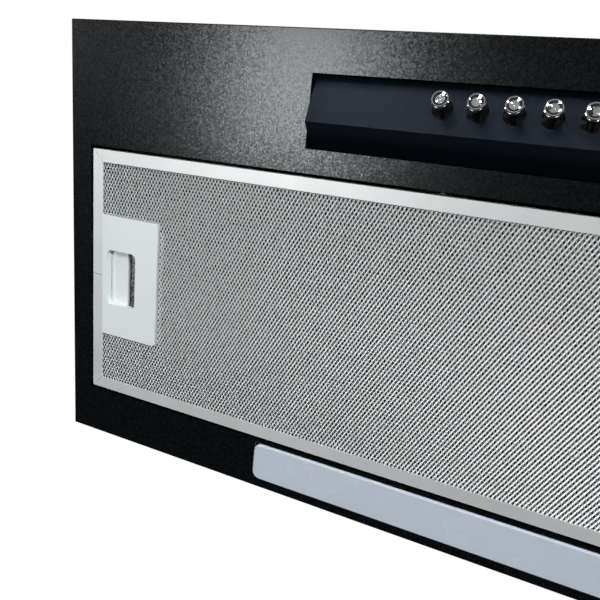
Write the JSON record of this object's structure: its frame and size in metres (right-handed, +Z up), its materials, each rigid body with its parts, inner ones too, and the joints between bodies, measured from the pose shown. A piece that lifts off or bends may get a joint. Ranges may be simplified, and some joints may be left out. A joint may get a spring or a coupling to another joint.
{
  "type": "under cabinet range hood",
  "caption": "Slim under-cabinet range hood with one wide metal grease filter, a tilted push-button bar, a long lamp lens and a round top duct collar.",
  "frame": {"origin": "centre of the flat top face, midway between the four cabinet screw holes", "axes": "+Z up towards the cabinet, -Y to the front where the buttons are, +X to the right as seen from the front"},
  "size_m": [0.602, 0.309, 0.1888],
  "materials": {
    "black_powder_coat": "fine-grained satin powder coat",
    "bar_black": "smooth satin black paint",
    "filter_aluminium": "satin rolled strip",
    "mesh_aluminium": "bright expanded sheet",
    "handle_white": "moulded, smooth satin",
    "chrome_cap": "polished",
    "spring_steel": "drawn wire",
    "milky_lens": "milky, translucent",
    "zinc_steel": "zinc-plated sheet",
    "circuit_board": "white solder mask",
    "lamp_chip": "yellow phosphor",
    "black_plastic": "moulded, fine spark texture",
    "driver_case": "moulded",
    "laminated_steel": "stacked laminations",
    "copper_winding": "enamelled wire",
    "bright_steel": "ground",
    "capacitor_can": "drawn can",
    "grommet_rubber": "moulded",
    "screw_steel": "zinc plated",
    "terminal_white": "moulded"
  },
  "bodies": {
    "casing": {"filter_rests": "black_powder_coat", "underside_panel": "black_powder_coat", "casing_wrap": "black_powder_coat", "top_plate": "black_powder_coat", "back_plate": "black_powder_coat", "control_fascia": "bar_black", "button_spring_1": "spring_steel", "button_spring_2": "spring_steel", "button_spring_3": "spring_steel", "button_spring_4": "spring_steel", "button_spring_5": "spring_steel", "light_lens": "milky_lens", "light_housing": "zinc_steel", "motor_housing_upper": "zinc_steel", "motor_housing_lower": "zinc_steel", "capacitor_strap": "zinc_steel", "lamp_board": "circuit_board", "lamp_chips": "lamp_chip", "switch_block": "black_plastic", "switch_brackets": "black_plastic", "scroll_upper": "black_plastic", "scroll_lower": "black_plastic", "inlet_ring": "black_plastic", "outlet_plenum": "black_plastic", "outlet_collar": "black_plastic", "cable_gland": "black_plastic", "junction_box": "black_plastic", "junction_lid": "black_plastic", "lamp_driver": "driver_case", "motor_stator": "laminated_steel", "motor_windings": "copper_winding", "motor_bearings": "bright_steel", "flap_pins": "bright_steel", "motor_capacitor": "capacitor_can", "motor_mounts": "grommet_rubber", "blower_pads": "grommet_rubber", "casing_screws": "screw_steel", "collar_screws": "screw_steel", "inlet_screws": "screw_steel", "terminal_block": "terminal_white"},
    "filter": {"filter_frame": "filter_aluminium", "filter_mesh_outer": "mesh_aluminium", "filter_core": "mesh_aluminium", "filter_mesh_inner": "mesh_aluminium", "filter_handle": "handle_white", "latch_springs": "spring_steel", "filter_tabs": "filter_aluminium"},
    "latch": {"filter_latch": "handle_white"},
    "wheel": {"impeller": "black_plastic", "motor_rotor": "laminated_steel", "motor_shaft": "bright_steel", "impeller_nut": "bright_steel"},
    "flap_left": {"flap_left": "black_plastic"},
    "flap_right": {"flap_right": "black_plastic"},
    "button_1": {"button_1": "chrome_cap"},
    "button_2": {"button_2": "chrome_cap"},
    "button_3": {"button_3": "chrome_cap"},
    "button_4": {"button_4": "chrome_cap"},
    "button_5": {"button_5": "chrome_cap"}
  },
  "joints": [
    {"name": "filter_swing", "type": "hinge", "parent": "casing", "child": "filter", "pos_m": [0.274, 0.0226, -0.1385], "axis": [0, -1, 0], "range_deg": [0, 75]},
    {"name": "latch_slide", "type": "slide", "parent": "filter", "child": "latch", "axis": [1, 0, 0], "range_m": [0, 0.0055], "stiffness_N_per_m": 150, "springref_m": -0.004, "deforming": ["latch_springs"]},
    {"name": "impeller_spin", "type": "hinge", "parent": "casing", "child": "wheel", "pos_m": [-0.095, -0.008, -0.048], "axis": [0, 0, 1], "continuous": true},
    {"name": "flap_left_swing", "type": "hinge", "parent": "casing", "child": "flap_left", "pos_m": [0.0941, 0.055, 0.0105], "axis": [0, 1, 0], "range_deg": [0, 80]},
    {"name": "flap_right_swing", "type": "hinge", "parent": "casing", "child": "flap_right", "pos_m": [0.1009, 0.055, 0.0105], "axis": [0, -1, 0], "range_deg": [0, 80]},
    {"name": "button_1_press", "type": "slide", "parent": "casing", "child": "button_1", "axis": [0, 0.3971, 0.9178], "range_m": [0, 0.003], "stiffness_N_per_m": 250, "springref_m": -0.002, "deforming": ["button_spring_1"]},
    {"name": "button_2_press", "type": "slide", "parent": "casing", "child": "button_2", "axis": [0, 0.3971, 0.9178], "range_m": [0, 0.003], "stiffness_N_per_m": 250, "springref_m": -0.002, "deforming": ["button_spring_2"]},
    {"name": "button_3_press", "type": "slide", "parent": "casing", "child": "button_3", "axis": [0, 0.3971, 0.9178], "range_m": [0, 0.003], "stiffness_N_per_m": 250, "springref_m": -0.002, "deforming": ["button_spring_3"]},
    {"name": "button_4_press", "type": "slide", "parent": "casing", "child": "button_4", "axis": [0, 0.3971, 0.9178], "range_m": [0, 0.003], "stiffness_N_per_m": 250, "springref_m": -0.002, "deforming": ["button_spring_4"]},
    {"name": "button_5_press", "type": "slide", "parent": "casing", "child": "button_5", "axis": [0, 0.3971, 0.9178], "range_m": [0, 0.003], "stiffness_N_per_m": 250, "springref_m": -0.002, "deforming": ["button_spring_5"]}
  ]
}
